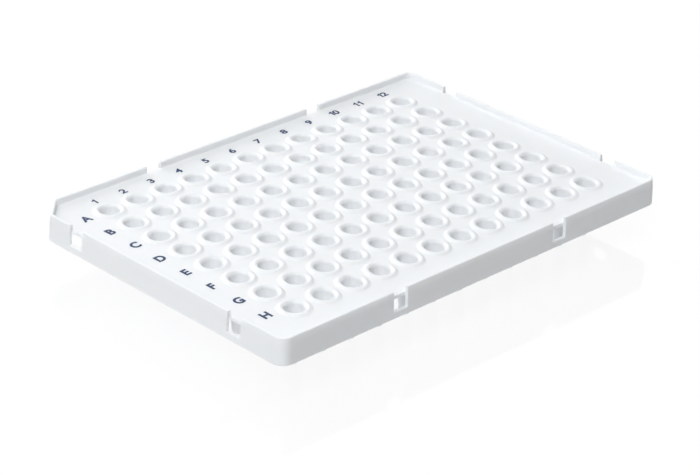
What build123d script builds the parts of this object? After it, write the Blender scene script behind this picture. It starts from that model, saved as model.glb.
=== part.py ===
from build123d import *
import os
from math import atan2, degrees, sqrt

# A low well plate of 8 rows by 12 columns, moulded in one piece of white polypropylene.
# The tubes' tips stand on Z = 0, with the origin under the middle of the plate. Columns
# run along X and rows along Y. The first well of both lies at the cut corner, at -X +Y.

# Grid of wells
rows = 8
columns = 12
well_pitch = 9.0
end_margin = 14.38  # plate's end to the middle of the first column
side_margin = 11.24  # plate's side to the middle of the first row

# Heights
plate_height = 15.2  # tube tips to the rim's top
skirt_height = 6.75  # skirt's lower edge to the rim's top
deck_drop = 1.6  # rim's top to the deck
deck_thickness = 0.8
ring_height = 0.5  # deck to the top of the ring round each well

# Outline
corner_radius = 3.0
cut_corner = 6.0  # leg of the 45 degree cut that marks the first well
cut_corner_radius = 1.5

# Skirt: it leans in from its lower edge, and leans in more above a soft shoulder
skirt_wall = 0.85
skirt_lean = 0.206  # from the lower edge up to the shoulder
rim_band = 1.65  # height of the part above the shoulder
rim_lean = 0.254  # over the rim band
rim_land = 0.7  # width of the rim's top
shoulder_rounding = 14.0
rim_rounding = 0.2
edge_rounding = 0.2  # at the skirt's lower edge

# Slots down through the skirt, two on each side
slot_width = 4.5
slot_pitches = 6  # wells from one slot of a side to the next
slot_sill = 1.7  # height of skirt that is left under a slot

# Wells: each bore is one cone, and its tube is a parallel cone round it
mouth_diameter = 4.9  # of the bore's cone, carried on up to the ring's top
mouth_lead = 0.6  # depth and width of the lead-in round each mouth
floor_diameter = 2.0
floor_thickness = 0.7
tube_wall = 0.45
ring_land = 0.45  # width of the ring's flat top, round the lead-in
ring_spread = 0.55  # the ring's side slopes out by this to its foot on the deck

# Sizes that follow
plate_length = (columns - 1) * well_pitch + 2 * end_margin
plate_width = (rows - 1) * well_pitch + 2 * side_margin
skirt_edge = plate_height - skirt_height
shoulder = plate_height - rim_band
deck_top = plate_height - deck_drop
deck_underside = deck_top - deck_thickness
ring_top = deck_top + ring_height
recess_inset = skirt_lean + rim_lean + rim_land
slot_spacing = slot_pitches * well_pitch
inner_wall = skirt_wall + skirt_lean * (deck_underside - skirt_edge) / (shoulder - skirt_edge)
bore_depth = ring_top - floor_thickness
bore_slope = (mouth_diameter - floor_diameter) / 2 / bore_depth
bore_taper = degrees(atan2(bore_slope, 1))
tube_radius = mouth_diameter / 2 - bore_slope * (ring_top - deck_underside) + tube_wall
lead_radius = mouth_diameter / 2 + mouth_lead
lead_taper = degrees(atan2(1 + bore_slope, 1))
ring_radius = lead_radius + ring_land
ring_taper = degrees(atan2(ring_spread, ring_height))


def outline(height, inset):
    """The plate's outline at a height, moved in all round, with the first well's corner cut."""
    length = plate_length - 2 * inset
    width = plate_width - 2 * inset
    cut = cut_corner - (2 - sqrt(2)) * inset
    with BuildLine(Plane.XY.offset(height)) as line:
        FilletPolyline(
            (-length / 2, width / 2 - cut),
            (-length / 2, -width / 2),
            (length / 2, -width / 2),
            (length / 2, width / 2),
            (-length / 2 + cut, width / 2),
            radius=[cut_corner_radius - inset] + 3 * [corner_radius - inset] + [cut_corner_radius - inset],
            close=True,
        )
    return line.wire()


def circles(height, radius):
    """A circle for every well, at a height."""
    with BuildSketch(Plane.XY.offset(height)) as sketch:
        with GridLocations(well_pitch, well_pitch, columns, rows):
            Circle(radius)
    return sketch.sketch


def skirt_section():
    """The skirt and rim cut across, at the front: inwards from the outline, and up."""
    with BuildSketch(Plane((0, -plate_width / 2, 0), x_dir=(0, 1, 0), z_dir=(1, 0, 0))) as sketch:
        with BuildLine():
            outside = FilletPolyline(
                (inner_wall, deck_underside),
                (skirt_wall, skirt_edge),
                (0, skirt_edge),
                (skirt_lean, shoulder),
                (skirt_lean + rim_lean, plate_height),
                (recess_inset, plate_height),
                (recess_inset, deck_top),
                radius=[edge_rounding, edge_rounding, shoulder_rounding, rim_rounding, rim_rounding],
            )
            Line(outside @ 1, outside @ 0)
        make_face()
    return sketch.sketch


with BuildPart() as plate:
    # Skirt and rim are one section swept round the outline, and the deck closes them across
    sweep(skirt_section(), path=outline(0, 0))
    extrude(Face(outline(deck_underside, inner_wall)), amount=deck_thickness)

    # Slots, through the skirt and no further than the recess
    with BuildSketch(Plane.XY.offset(skirt_edge + slot_sill)):
        with GridLocations(slot_spacing, plate_width - recess_inset, 2, 2):
            Rectangle(slot_width, recess_inset)
        with GridLocations(plate_length - recess_inset, slot_spacing, 2, 2):
            Rectangle(recess_inset, slot_width)
    extrude(amount=skirt_height - slot_sill, mode=Mode.SUBTRACT)

    # Wells: low rings on the deck, tubes under it, and the bores through both with their lead-ins
    extrude(circles(ring_top, ring_radius), amount=-ring_height, taper=-ring_taper)
    extrude(circles(deck_underside, tube_radius), amount=-deck_underside, taper=bore_taper)
    extrude(circles(ring_top, mouth_diameter / 2), amount=-bore_depth, taper=bore_taper, mode=Mode.SUBTRACT)
    extrude(circles(ring_top, lead_radius), amount=-mouth_lead, taper=lead_taper, mode=Mode.SUBTRACT)

os.makedirs("parts", exist_ok=True)
plate.part.label = "plate"
export_step(plate.part, "parts/plate.step")
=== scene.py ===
from math import atan2, cos, hypot, pi, radians, sin, sqrt, tan

import bpy
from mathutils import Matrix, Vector

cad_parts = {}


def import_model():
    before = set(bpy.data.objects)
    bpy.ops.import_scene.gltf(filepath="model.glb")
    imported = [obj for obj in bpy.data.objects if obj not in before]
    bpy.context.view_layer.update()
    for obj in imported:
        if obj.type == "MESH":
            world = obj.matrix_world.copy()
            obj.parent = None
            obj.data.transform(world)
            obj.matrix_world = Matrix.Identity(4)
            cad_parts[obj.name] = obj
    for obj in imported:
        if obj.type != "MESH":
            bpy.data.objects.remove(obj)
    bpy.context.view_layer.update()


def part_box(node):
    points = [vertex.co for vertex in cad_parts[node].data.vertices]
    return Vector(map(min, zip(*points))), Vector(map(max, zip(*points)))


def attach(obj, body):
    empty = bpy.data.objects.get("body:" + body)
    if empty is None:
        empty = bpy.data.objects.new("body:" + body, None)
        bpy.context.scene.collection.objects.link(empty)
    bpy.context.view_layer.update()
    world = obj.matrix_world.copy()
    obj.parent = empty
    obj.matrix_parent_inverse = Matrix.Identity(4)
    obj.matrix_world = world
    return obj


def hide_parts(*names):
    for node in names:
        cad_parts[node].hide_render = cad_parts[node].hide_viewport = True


# The looks of a moulded well plate. Lengths of the plate and its print are in millimetres up to
# where a mesh is made. Materials, floor, lamps and camera are in metres.
MM = 0.001

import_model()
plate_low, plate_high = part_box("plate")

# ---------------------------------------------------------------------------------------
# Sizes of the plate
# ---------------------------------------------------------------------------------------

# Overall, from the frame
LENGTH = (plate_high.x - plate_low.x) / MM
WIDTH = (plate_high.y - plate_low.y) / MM
TOP = plate_high.z / MM

# Grid of wells: the first row and column lie at the cut corner, at -X +Y
ROWS = 8
COLUMNS = 12
PITCH = 9.0
FIELD_X = COLUMNS * PITCH / 2  # from the plate's middle to the end of the wells' squares
FIELD_Y = ROWS * PITCH / 2

# Heights
SKIRT_HEIGHT = 6.75  # skirt's lower edge to the rim's top
SILL_HEIGHT = 1.7  # skirt's lower edge to a slot's sill
RIM_BAND = 1.65  # the skirt's soft shoulder to the rim's top
DECK_DROP = 1.6  # rim's top to the deck
DECK_THICKNESS = 0.8
RING_HEIGHT = 0.5
SKIRT_EDGE = TOP - SKIRT_HEIGHT
SILL = SKIRT_EDGE + SILL_HEIGHT
SHOULDER = TOP - RIM_BAND
DECK = TOP - DECK_DROP
DECK_UNDERSIDE = DECK - DECK_THICKNESS
RING_TOP = DECK + RING_HEIGHT

# The moulding is a little bowed: the field of wells rises to a place near its middle
BOW = 1.0
BOW_TOP = (3.0, -4.0)
BOW_REACH = (61.0, 36.4)  # from there to where nothing of the rise is left, along X and Y
BOW_POWER = (3.0, 2.5)  # a higher power makes the rise flatter at its top

# Outline: the cut is a 45 degree one
CORNER = 3.0
CUT = 6.0
CUT_CORNER = 1.5
CORNER_STEPS = 10
CUT_STEPS = 5

# Skirt: the outer wall leans in up to its shoulder, and more above it
WALL = 0.85
LEAN = 0.206  # from the lower edge up to the shoulder
RIM_INSET = 0.46  # from the lower edge up to the rim's top
RIM_LAND = 0.7  # width of the rim's top
RECESS = RIM_INSET + RIM_LAND
SHOULDER_ROUNDING = 14.0
RIM_ROUNDING = 0.28
EDGE_ROUNDING = 0.2
DECK_ROUNDING = 0.3

# Slots: two on each side, from the rim down to the sill
SLOT = 4.5
SLOT_AT = 3 * PITCH

# Wells, by their radii: bore and tube are parallel cones, and the ring is a low soft mound
MOUTH = 2.45
BORE_FLOOR = 1.0
BORE_FLOOR_AT = 0.7  # its height over the tubes' tips
TUBE_WALL = 0.45
RING = 3.5
RING_FOOT = 4.05
RING_ROUNDING = 0.6
RING_FOOT_ROUNDING = 1.0
MOUTH_ROUNDING = 0.9
TUBE_ROOT_ROUNDING = 0.25
BORE_FLOOR_ROUNDING = 0.9
TIP_ROUNDING = 1.1
BORE_SLOPE = (MOUTH - BORE_FLOOR) / (RING_TOP - BORE_FLOOR_AT)
WELL_SIDES = 32


def lean_at(z):
    """How far the skirt has leaned in at a height below the shoulder."""
    return LEAN * (z - SKIRT_EDGE) / (SHOULDER - SKIRT_EDGE)


def tube_radius(z):
    return MOUTH - BORE_SLOPE * (RING_TOP - z) + TUBE_WALL


def bow(x, y):
    """How far the field of wells has risen at a place, and its slope there along X and along Y."""
    drop, slope = [], []
    for spot, top, reach, power in zip((x, y), BOW_TOP, BOW_REACH, BOW_POWER):
        share = abs(spot - top) / reach
        drop.append(1 - share**power)
        slope.append(-power * share ** (power - 1) / reach * (1 if spot > top else -1))
    return BOW * drop[0] * drop[1], BOW * slope[0] * drop[1], BOW * drop[0] * slope[1]


def deck_rise(x, y):
    """How far the deck has risen. In the margin that runs back to nothing at the skirt."""
    margin_x = LENGTH / 2 - RECESS - DECK_ROUNDING - FIELD_X
    margin_y = WIDTH / 2 - RECESS - DECK_ROUNDING - FIELD_Y
    beyond_x = max(abs(x) - FIELD_X, 0) / margin_x
    beyond_y = max(abs(y) - FIELD_Y, 0) / margin_y
    rise = bow(min(max(x, -FIELD_X), FIELD_X), min(max(y, -FIELD_Y), FIELD_Y))[0]
    return rise * (1 - max(beyond_x, beyond_y))


# ---------------------------------------------------------------------------------------
# Building a mesh with exact normals
# ---------------------------------------------------------------------------------------

WELD_DIGITS = 4  # points that agree to this many digits of a millimetre are one vertex
SPOT_DIGITS = 6  # the same for places along a side of the deck


def linked(name, data):
    """A new object in the scene."""
    item = bpy.data.objects.new(name, data)
    bpy.context.collection.objects.link(item)
    return item


def rounded(corners, side):
    """(point, normal) pairs along corners (across, up, rounding, steps), each turned by an arc.

    The first and last corners only give directions. An arc has one point more than its steps.
    The normal lies to the left of the way along the corners where side is 1, and to the right
    where it is -1.
    """
    spots = [Vector(corner[:2]) for corner in corners]
    points = []
    for k in range(1, len(corners) - 1):
        way_in = (spots[k] - spots[k - 1]).normalized()
        way_out = (spots[k + 1] - spots[k]).normalized()
        turn = atan2(way_in.x * way_out.y - way_in.y * way_out.x, way_in.dot(way_out))
        rounding, steps = corners[k][2:]
        left = Vector((-way_in.y, way_in.x))
        bend = 1 if turn > 0 else -1
        start = spots[k] - way_in * rounding * tan(abs(turn) / 2)
        centre = start + left * bend * rounding
        for n in range(steps + 1):
            angle = turn * n / steps if steps else 0
            c, s = cos(angle), sin(angle)
            normal = Vector((left.x * c - left.y * s, left.x * s + left.y * c))
            points.append((centre - normal * bend * rounding, normal * side))
    return points


class Shell:
    """Collects a closed mesh: points at one place are one vertex, and each has its exact normal."""

    def __init__(self):
        self.places = {}
        self.points = []
        self.normals = []
        self.faces = []
        self.flat = []

    def vertex(self, point, normal):
        key = tuple(round(c, WELD_DIGITS) for c in point)
        if key not in self.places:
            self.places[key] = len(self.points)
            self.points.append(point)
            self.normals.append(normal)
        return self.places[key]

    def face(self, corners, flip=False, flat=False):
        self.faces.append(corners[::-1] if flip else corners)
        self.flat.append(flat)

    def band(self, first, second, flip):
        """Quads between two rings of vertices."""
        count = len(first)
        for k in range(count):
            n = (k + 1) % count
            self.face([first[k], first[n], second[n], second[k]], flip)

    def bend(self, first):
        """Bows the points from the first one on, with their normals. The tubes' tips stay level."""
        for k in range(first, len(self.points)):
            x, y, z = self.points[k]
            out_x, out_y, rise = self.normals[k]
            lift, slope_x, slope_y = bow(x, y)
            share = min(z / DECK_UNDERSIDE, 1)
            stretch = 1 + lift / DECK_UNDERSIDE if share < 1 else 1
            self.points[k] = (x, y, z + lift * share)
            tilted_x = out_x * stretch - rise * slope_x * share
            tilted_y = out_y * stretch - rise * slope_y * share
            self.normals[k] = Vector((tilted_x, tilted_y, rise)).normalized()

    def made(self, name, material):
        """The mesh object, riding on the root body."""
        mesh = bpy.data.meshes.new(name)
        mesh.from_pydata([[c * MM for c in p] for p in self.points], [], self.faces)
        mesh.polygons.foreach_set("use_smooth", [not flat for flat in self.flat])
        flat_edges = set()
        for polygon, flat in zip(mesh.polygons, self.flat):
            if flat:
                flat_edges.update(polygon.edge_keys)
        mesh.edges.foreach_set("use_edge_sharp", [edge.key in flat_edges for edge in mesh.edges])
        corner_normals = []
        for polygon, flat in zip(mesh.polygons, self.flat):
            for v in polygon.vertices:
                corner_normals.append(polygon.normal[:] if flat else self.normals[v])
        mesh.normals_split_custom_set(corner_normals)
        mesh.materials.append(material)
        piece = linked(name, mesh)
        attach(piece, "root")
        return piece


# ---------------------------------------------------------------------------------------
# Plate
# ---------------------------------------------------------------------------------------


def outline():
    """Points round the plate, anticlockwise, and which of them split it into its four sides.

    Each point is (anchor, outward normal, radius there, slot starts here). Moved in by some inset,
    it is at anchor + normal * (radius - inset).
    """
    half_length = LENGTH / 2
    half_width = WIDTH / 2
    soft = CUT_CORNER * (sqrt(2) - 1)
    points = []

    def corner(x, y, radius, first, last, steps):
        """Adds an arc, and says which point is its middle."""
        middle = len(points) + steps // 2
        for n in range(steps + 1):
            angle = radians(first + (last - first) * n / steps)
            points.append((Vector((x, y)), Vector((cos(angle), sin(angle))), radius, False))
        return middle

    def side(normal, way, reach, wells):
        """Adds a side: its slots' edges, and a point at every half pitch outside the slots."""
        starts = (-SLOT_AT - SLOT / 2, SLOT_AT - SLOT / 2)
        places = {place for start in starts for place in (start, start + SLOT)}
        for half_pitch in range(2 - wells, wells - 1):
            place = half_pitch * PITCH / 2
            if abs(abs(place) - SLOT_AT) > SLOT / 2:
                places.add(place)
        for place in sorted(places):
            points.append((normal * reach + way * place, normal, 0, place in starts))

    side(Vector((-1, 0)), Vector((0, -1)), half_length, ROWS)
    h1 = corner(-half_length + CORNER, -half_width + CORNER, CORNER, 180, 270, CORNER_STEPS)
    side(Vector((0, -1)), Vector((1, 0)), half_width, COLUMNS)
    h12 = corner(half_length - CORNER, -half_width + CORNER, CORNER, 270, 360, CORNER_STEPS)
    side(Vector((1, 0)), Vector((0, 1)), half_length, ROWS)
    a12 = corner(half_length - CORNER, half_width - CORNER, CORNER, 0, 90, CORNER_STEPS)
    side(Vector((0, 1)), Vector((-1, 0)), half_width, COLUMNS)
    corner(-half_length + CUT + soft, half_width - CUT_CORNER, CUT_CORNER, 90, 135, CUT_STEPS)
    a1 = len(points) - 1
    corner(-half_length + CUT_CORNER, half_width - CUT - soft, CUT_CORNER, 135, 180, CUT_STEPS)
    return points, [h1, h12, a12, a1]


def skirt(shell):
    """Skirt, rim and slots. Returns the loops where the deck's top and underside begin."""
    points, splits = outline()
    slot_starts = [point[3] for point in points]
    inner_top = WALL + lean_at(DECK_UNDERSIDE)
    root_steps, inner_edge_steps, outer_edge_steps = 3, 3, 4
    profile = rounded(
        [
            (-LENGTH, DECK_UNDERSIDE),
            (-inner_top, DECK_UNDERSIDE, DECK_ROUNDING, root_steps),
            (-WALL - lean_at(SILL), SILL, 0, 0),
            (-WALL, SKIRT_EDGE, EDGE_ROUNDING, inner_edge_steps),
            (0, SKIRT_EDGE, EDGE_ROUNDING, outer_edge_steps),
            (-lean_at(SILL), SILL, 0, 0),
            (-LEAN, SHOULDER, SHOULDER_ROUNDING, 6),
            (-RIM_INSET, TOP, RIM_ROUNDING, 4),
            (-RECESS, TOP, RIM_ROUNDING, 4),
            (-RECESS, DECK, DECK_ROUNDING, 4),
            (-LENGTH, DECK),
        ],
        side=-1,
    )
    inner_sill = root_steps + 1
    outer_sill = inner_sill + 1 + (inner_edge_steps + 1) + (outer_edge_steps + 1)
    rows = []
    for (across, up), (out, rise) in profile:
        row = []
        for anchor, normal, radius, _ in points:
            x, y = anchor + normal * (radius + across)
            row.append(shell.vertex((x, y, up), (normal.x * out, normal.y * out, rise)))
        rows.append(row)

    # Skirt and rim, where a slot leaves only what is under its sill
    count = len(points)
    for level in range(len(rows) - 1):
        for k in range(count):
            n = (k + 1) % count
            if slot_starts[k] and not inner_sill <= level < outer_sill:
                continue
            shell.face([rows[level][k], rows[level][n], rows[level + 1][n], rows[level + 1][k]])

    # Each slot: the two jambs, the deck's bare edge with the deck over and under it, and the sill
    for k in range(count):
        if not slot_starts[k]:
            continue
        edges = []
        for post in (k, k + 1):
            anchor, normal, _, _ = points[post]
            x, y = anchor - normal * RECESS
            over = shell.vertex((x, y, DECK), (0, 0, 1))
            under = shell.vertex((x, y, DECK_UNDERSIDE), (0, 0, -1))
            edges.append((over, under))
            section = [row[post] for row in rows[outer_sill:]] + [over, under]
            section += [row[post] for row in rows[: inner_sill + 1]]
            shell.face(section, flip=post == k, flat=True)
        (over_a, under_a), (over_b, under_b) = edges
        outer, inner = rows[outer_sill], rows[inner_sill]
        shell.face([under_a, under_b, over_b, over_a], flat=True)
        shell.face([rows[-1][k], over_a, over_b, rows[-1][k + 1]], flat=True)
        shell.face([rows[0][k], rows[0][k + 1], under_b, under_a], flat=True)
        shell.face([outer[k], outer[k + 1], inner[k + 1], inner[k]], flat=True)
    return rows[-1], rows[0], splits


def cell_edge():
    """The edge of a well's square of deck, from its middle, one point for each side of the well."""
    edge = []
    for k in range(WELL_SIDES):
        angle = 2 * pi * k / WELL_SIDES
        reach = PITCH / 2 / max(abs(cos(angle)), abs(sin(angle)))
        edge.append((reach * cos(angle), reach * sin(angle)))
    return edge


def lathe(shell, x, y, profile, height, up, flip):
    """A well's square of deck at a height, and in it the profile, turned about the well's axis."""
    row = [shell.vertex((x + a, y + b, height), (0, 0, up)) for a, b in cell_edge()]
    for (radius, z), (out, rise) in profile:
        turned = []
        for k in range(WELL_SIDES):
            angle = 2 * pi * k / WELL_SIDES
            c, s = cos(angle), sin(angle)
            point = (x + radius * c, y + radius * s, z)
            turned.append(shell.vertex(point, (out * c, out * s, rise)))
        shell.band(row, turned, flip)
        row = turned
    middle = shell.vertex((x, y, profile[-1][0].y), (0, 0, up))
    for k in range(WELL_SIDES):
        shell.face([row[k], row[(k + 1) % WELL_SIDES], middle], flip)


def wells(shell):
    """Every well: ring and bore on the deck's top, and the tube on its underside."""
    inside = rounded(
        [
            (PITCH, DECK),
            (RING_FOOT, DECK, RING_FOOT_ROUNDING, 3),
            (RING, RING_TOP, RING_ROUNDING, 3),
            (MOUTH, RING_TOP, MOUTH_ROUNDING, 6),
            (BORE_FLOOR, BORE_FLOOR_AT, BORE_FLOOR_ROUNDING, 4),
            (0, BORE_FLOOR_AT),
        ],
        side=-1,
    )
    outside = rounded(
        [
            (PITCH, DECK_UNDERSIDE),
            (tube_radius(DECK_UNDERSIDE), DECK_UNDERSIDE, TUBE_ROOT_ROUNDING, 2),
            (tube_radius(0), 0, TIP_ROUNDING, 4),
            (0, 0),
        ],
        side=1,
    )
    for row in range(ROWS):
        for column in range(COLUMNS):
            x = (column - (COLUMNS - 1) / 2) * PITCH
            y = (row - (ROWS - 1) / 2) * PITCH
            lathe(shell, x, y, inside, DECK, 1, flip=False)
            lathe(shell, x, y, outside, DECK_UNDERSIDE, -1, flip=True)


def stitch(shell, outer, inner, flip):
    """Triangles between two rows of (place along the side, vertex)."""
    a = b = 0
    while a + 1 < len(outer) or b + 1 < len(inner):
        if b + 1 == len(inner) or (a + 1 < len(outer) and outer[a + 1][0] <= inner[b + 1][0]):
            shell.face([outer[a][1], outer[a + 1][1], inner[b][1]], flip)
            a += 1
        else:
            shell.face([outer[a][1], inner[b + 1][1], inner[b][1]], flip)
            b += 1


def margin(shell, loop, splits, height, up, flip):
    """The deck between the squares of the wells and the skirt, side by side."""
    # Where the points of a square's side lie, from its middle: an eighth of a turn each way
    steps = [b for _, b in cell_edge()[: WELL_SIDES // 8 + 1]]
    steps = [-b for b in steps[:0:-1]] + steps
    corners = [(-FIELD_X, -FIELD_Y), (FIELD_X, -FIELD_Y), (FIELD_X, FIELD_Y), (-FIELD_X, FIELD_Y)]
    for k in range(4):
        (x0, y0), (x1, y1) = corners[k], corners[(k + 1) % 4]
        length = hypot(x1 - x0, y1 - y0)
        # Rounded, so that a corner shared by two squares is one spot
        spots = {0, length}
        for cell in range(round(length / PITCH)):
            spots |= {round((cell + 0.5) * PITCH + step, SPOT_DIGITS) for step in steps}
        way_x, way_y = (x1 - x0) / length, (y1 - y0) / length
        grid = []
        for spot in sorted(spots):
            point = (x0 + way_x * spot, y0 + way_y * spot, height)
            grid.append((spot, shell.vertex(point, (0, 0, up))))
        first, last = splits[k], splits[(k + 1) % 4]
        outer = []
        for v in loop[first : last + 1] if first < last else loop[first:] + loop[: last + 1]:
            x, y, _ = shell.points[v]
            outer.append(((x - x0) * way_x + (y - y0) * way_y, v))
        stitch(shell, outer, grid, flip)


def plate(material):
    """The whole moulding. The bow starts after the skirt's points, which stay level."""
    shell = Shell()
    top_loop, under_loop, splits = skirt(shell)
    first = len(shell.points)
    wells(shell)
    margin(shell, top_loop, splits, DECK, 1, flip=False)
    margin(shell, under_loop, splits, DECK_UNDERSIDE, -1, flip=True)
    shell.bend(first)
    piece = shell.made("moulded_plate", material)
    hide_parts("plate")


# ---------------------------------------------------------------------------------------
# Printed letters and numbers
# ---------------------------------------------------------------------------------------

INK_THICKNESS = 0.05
FONT_CAP = 0.73  # height of the font's capitals, as a share of its size
ADVANCE = 0.78  # from one figure of a number to the next, as a share of their height

# The figure 1 with a flag, as shares of its height
ONE = [
    (0.0, 0.66),
    (0.0, 0.75),
    (0.13, 0.8),
    (0.21, 0.89),
    (0.25, 1.0),
    (0.33, 1.0),
    (0.33, 0.0),
    (0.22, 0.0),
    (0.22, 0.72),
    (0.14, 0.68),
]


def glyph(name, text, cap, boldness):
    """The shape of one letter or figure. The font's 1 is a bare stroke, so ONE is drawn for it."""
    if text == "1":
        curve = bpy.data.curves.new(name, "CURVE")
        curve.dimensions = "2D"
        line = curve.splines.new("POLY")
        line.points.add(len(ONE) - 1)
        for point, (x, y) in zip(line.points, ONE):
            point.co = (x * cap, y * cap, 0, 1)
        line.use_cyclic_u = True
        curve.fill_mode = "BOTH"
    else:
        curve = bpy.data.curves.new(name, "FONT")
        curve.body = text
        curve.size = cap / FONT_CAP
        curve.resolution_u = 6
    curve.offset = boldness
    curve.extrude = INK_THICKNESS / 2
    holder = linked(name, curve)
    bpy.context.view_layer.update()
    evaluated = holder.evaluated_get(bpy.context.evaluated_depsgraph_get())
    shape = bpy.data.meshes.new_from_object(evaluated)
    bpy.data.objects.remove(holder)
    return shape


def printed(name, words, first, step, cap, stretch, boldness, material):
    """Words printed on the deck, centred on places that go on from the first by a step."""
    points, faces = [], []
    for k, word in enumerate(words):
        word_x, word_y = first[0] + k * step[0], first[1] + k * step[1]
        for n, letter in enumerate(word):
            shape = glyph(name, letter, cap, boldness)
            across = [v.co.x for v in shape.vertices]
            along = [v.co.y for v in shape.vertices]
            middle_x = (min(across) + max(across)) / 2
            middle_y = (min(along) + max(along)) / 2
            start = len(points)
            shift = (n - (len(word) - 1) / 2) * ADVANCE * cap
            for v in shape.vertices:
                x = (v.co.x - middle_x) * stretch + word_x + shift
                y = v.co.y - middle_y + word_y
                points.append((x, y, v.co.z + DECK + deck_rise(x, y)))
            faces += [[start + v for v in polygon.vertices] for polygon in shape.polygons]
            bpy.data.meshes.remove(shape)
    mesh = bpy.data.meshes.new(name)
    mesh.from_pydata([[c * MM for c in p] for p in points], [], faces)
    mesh.materials.append(material)
    piece = linked(name, mesh)
    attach(piece, "root")


def labels(material):
    """Row letters down the first column's side, and column numbers along the first row's side."""
    printed(
        "row_letters",
        "ABCDEFGH",
        first=(-56.5, 31.85),
        step=(0.0, -8.77),
        cap=2.6,
        stretch=1.0,
        boldness=0.14,
        material=material,
    )
    printed(
        "column_numbers",
        [str(k + 1) for k in range(COLUMNS)],
        first=(-49.0, 37.75),
        step=(8.92, 0.06),
        cap=2.0,
        stretch=1.3,
        boldness=0.08,
        material=material,
    )


# ---------------------------------------------------------------------------------------
# Materials
# ---------------------------------------------------------------------------------------

# Each colour varies between two
PLASTIC_COLOURS = ((0.945, 0.963, 0.982, 1), (0.955, 0.97, 0.986, 1))
INK_COLOURS = ((0.003, 0.022, 0.085, 1), (0.015, 0.06, 0.17, 1))
WHITE = (1, 1, 1, 1)


class Nodes:
    """The nodes of a material or of the world, made and linked in one go."""

    def __init__(self, owner):
        owner.use_nodes = True
        self.tree = owner.node_tree

    def add(self, kind, settings=None, **inputs):
        node = self.tree.nodes.new("ShaderNode" + kind)
        for name, value in (settings or {}).items():
            setattr(node, name, value)
        for name, value in inputs.items():
            self.put(node.inputs[name.replace("_", " ")], value)
        return node

    def put(self, socket, value):
        if isinstance(value, bpy.types.NodeSocket):
            self.tree.links.new(value, socket)
        else:
            socket.default_value = value

    def noise(self, place, scale, detail, roughness=0.5):
        """Noise with about scale features to the metre."""
        node = self.add("TexNoise", Vector=place, Scale=scale, Detail=detail, Roughness=roughness)
        return node.outputs["Fac"]

    def spread(self, value, low, high, start=0.3, end=0.7):
        """The value's usual range, start to end, spread from low to high."""
        node = self.add("MapRange", Value=value)
        ends = {"From Min": start, "From Max": end, "To Min": low, "To Max": high}
        for name, number in ends.items():
            node.inputs[name].default_value = number
        return node.outputs["Result"]

    def blend(self, share, first, second):
        """A colour from first to second. The node's sockets share names, so they go by number."""
        node = self.add("Mix", {"data_type": "RGBA"})
        for number, value in ((0, share), (6, first), (7, second)):
            self.put(node.inputs[number], value)
        return node.outputs[2]

    def mix(self, share, first, second):
        """A shader from first to second."""
        node = self.add("MixShader")
        for socket, value in zip(node.inputs, (share, first, second)):
            self.put(socket, value)
        return node.outputs["Shader"]


def polypropylene():
    """White moulded plastic: faint flow marks, an uneven gloss and a fine mould grain."""
    material = bpy.data.materials.new("white_polypropylene")
    nodes = Nodes(material)
    shader = nodes.tree.nodes["Principled BSDF"]
    place = nodes.add("TexCoord").outputs["Object"]
    flow = nodes.spread(nodes.noise(place, scale=55, detail=3), low=0, high=1)
    gloss = nodes.spread(nodes.noise(place, scale=320, detail=3), low=0.33, high=0.43)
    grain = nodes.noise(place, scale=3600, detail=2, roughness=0.6)
    nodes.put(shader.inputs["Base Color"], nodes.blend(flow, *PLASTIC_COLOURS))
    nodes.put(shader.inputs["Roughness"], gloss)
    bump = nodes.add("Bump", Strength=0.2, Distance=0.00001, Height=grain)
    nodes.put(shader.inputs["Normal"], bump.outputs["Normal"])
    shader.inputs["IOR"].default_value = 1.49
    shader.inputs["Subsurface Weight"].default_value = 1.0
    shader.inputs["Subsurface Radius"].default_value = (1.0, 0.97, 0.94)
    shader.inputs["Subsurface Scale"].default_value = 0.0005
    return material


def ink():
    """Navy printing ink: thinner in specks, and a little uneven in its gloss."""
    material = bpy.data.materials.new("navy_ink")
    nodes = Nodes(material)
    shader = nodes.tree.nodes["Principled BSDF"]
    place = nodes.add("TexCoord").outputs["Object"]
    specks = nodes.noise(place, scale=4200, detail=2)
    thin = nodes.spread(specks, low=0, high=1, start=0.5, end=0.8)
    gloss = nodes.spread(nodes.noise(place, scale=900, detail=2), low=0.4, high=0.55)
    nodes.put(shader.inputs["Base Color"], nodes.blend(thin, *INK_COLOURS))
    nodes.put(shader.inputs["Roughness"], gloss)
    return material


# ---------------------------------------------------------------------------------------
# Floor, light and camera
# ---------------------------------------------------------------------------------------

FLOOR_REACH = 3.0
FLOOR_SHADE = 0.07  # share of the floor's look that keeps the plate's shadow
FLOOR_LIT = 0.8  # the part of that share that the glow leaves to the lamps

# Lamps round the plate, all turned to its middle: name, place and power
LAMPS = [
    ("lamp_front", (-0.651, -0.276, 0.707), 6.65),
    ("lamp_far", (0.0, 0.906, 0.423), 5.8),
    ("lamp_top", (0.025, 0.025, 0.999), 2.95),
    ("lamp_right", (0.819, 0.0, 0.574), 1.3),
]
LAMP_SIZE = (0.7, 0.7)
LAMP_COLOUR = (0.95, 0.975, 1.0)

# The lamp that lies on the floor, about as large as the field of wells
UNDER_LAMP_PLACE = (0.0, 0.0, 0.0004)
UNDER_LAMP_SIZE = (0.112, 0.07)
UNDER_LAMP_POWER = 0.015

# Camera: its place is from the skirt's lower edge, and its turns are in degrees
CAMERA_PLACE = (-0.41671, -0.39964, 0.28764)
CAMERA_TURNS = (63.042, -2.628, -44.849)
CAMERA_LENS = 137.43
CAMERA_SENSOR = 36


def seen(nodes):
    """1 for what the camera sees, straight or in a reflection."""
    path = nodes.add("LightPath")
    total = path.outputs["Is Camera Ray"]
    for name in ("Is Glossy Ray", "Is Transmission Ray"):
        pair = nodes.add("Math", {"operation": "MAXIMUM"})
        nodes.put(pair.inputs[0], total)
        nodes.put(pair.inputs[1], path.outputs[name])
        total = pair.outputs[0]
    return total


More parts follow.
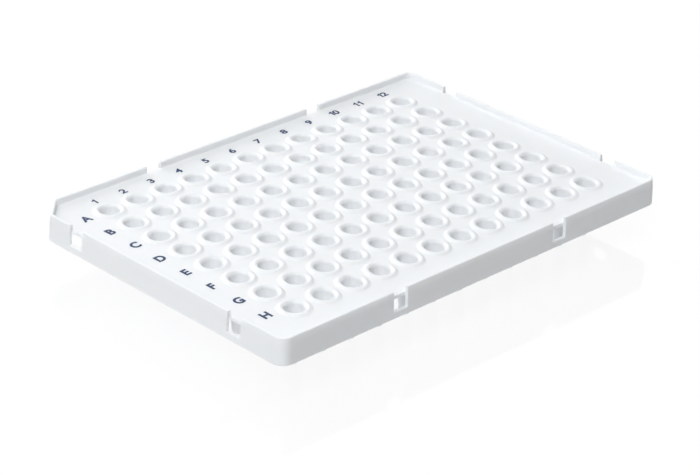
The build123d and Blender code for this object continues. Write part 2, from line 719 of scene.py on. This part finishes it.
def floor():
    """A glossy white board, which shows the plate's shadow and mirrors it faintly."""
    mesh = bpy.data.meshes.new("floor")
    r = FLOOR_REACH
    mesh.from_pydata([(-r, -r, 0), (r, -r, 0), (r, r, 0), (-r, r, 0)], [], [(0, 1, 2, 3)])
    piece = linked("floor", mesh)
    material = bpy.data.materials.new("white_board")
    mesh.materials.append(material)
    nodes = Nodes(material)
    nodes.tree.nodes.remove(nodes.tree.nodes["Principled BSDF"])

    # What is seen: a white glow, with a share that the lamps light and the plate shades
    shade = nodes.add("BsdfDiffuse", Color=(FLOOR_SHADE, FLOOR_SHADE, FLOOR_SHADE, 1))
    glow = nodes.add("Emission", Color=WHITE, Strength=1.0 - FLOOR_LIT * FLOOR_SHADE)
    body = nodes.add("AddShader")
    nodes.put(body.inputs[0], shade.outputs[0])
    nodes.put(body.inputs[1], glow.outputs[0])
    mirror = nodes.add("BsdfGlossy", Color=WHITE, Roughness=0.03)
    fresnel = nodes.add("Fresnel", IOR=1.45)
    board = nodes.mix(fresnel.outputs[0], body.outputs[0], mirror.outputs[0])

    # What lights the plate from below: a plain white board
    plain = nodes.add("BsdfDiffuse", Color=(0.85, 0.85, 0.85, 1))
    both = nodes.mix(seen(nodes), plain.outputs[0], board)
    nodes.put(nodes.tree.nodes["Material Output"].inputs["Surface"], both)


def area_light(name, place, size, power):
    """A lamp turned to the plate's middle."""
    data = bpy.data.lights.new(name, "AREA")
    data.shape = "RECTANGLE"
    data.size, data.size_y = size
    data.energy = power
    data.color = LAMP_COLOUR
    lamp = linked(name, data)
    lamp.location = place
    lamp.rotation_euler = (-Vector(place)).to_track_quat("-Z", "Y").to_euler()
    lamp.visible_camera = False
    return lamp


def under_lamp():
    """What the white board passes on up between the tubes."""
    lamp = area_light("lamp_under", UNDER_LAMP_PLACE, UNDER_LAMP_SIZE, UNDER_LAMP_POWER)
    lamp.rotation_euler = (pi, 0, 0)
    lamp.visible_glossy = False


def world():
    """Gives no light, and is white where the camera or a reflection sees it."""
    scene = bpy.context.scene
    scene.world = bpy.data.worlds.new("studio")
    nodes = Nodes(scene.world)
    dark = nodes.tree.nodes["Background"]
    dark.inputs["Strength"].default_value = 0.0
    white = nodes.add("Background", Color=WHITE, Strength=1.0)
    both = nodes.mix(seen(nodes), dark.outputs[0], white.outputs[0])
    nodes.put(nodes.tree.nodes["World Output"].inputs["Surface"], both)


def camera():
    """The photo's view."""
    data = bpy.data.cameras.new("camera")
    data.lens = CAMERA_LENS
    data.sensor_width = CAMERA_SENSOR
    item = linked("camera", data)
    x, y, z = CAMERA_PLACE
    item.location = (x, y, z + SKIRT_EDGE * MM)
    item.rotation_euler = [radians(turn) for turn in CAMERA_TURNS]
    bpy.context.scene.camera = item


bpy.context.scene.view_settings.view_transform = "Standard"
plate(polypropylene())
labels(ink())
floor()
for name, place, power in LAMPS:
    area_light(name, place, LAMP_SIZE, power)
world()
under_lamp()
camera()
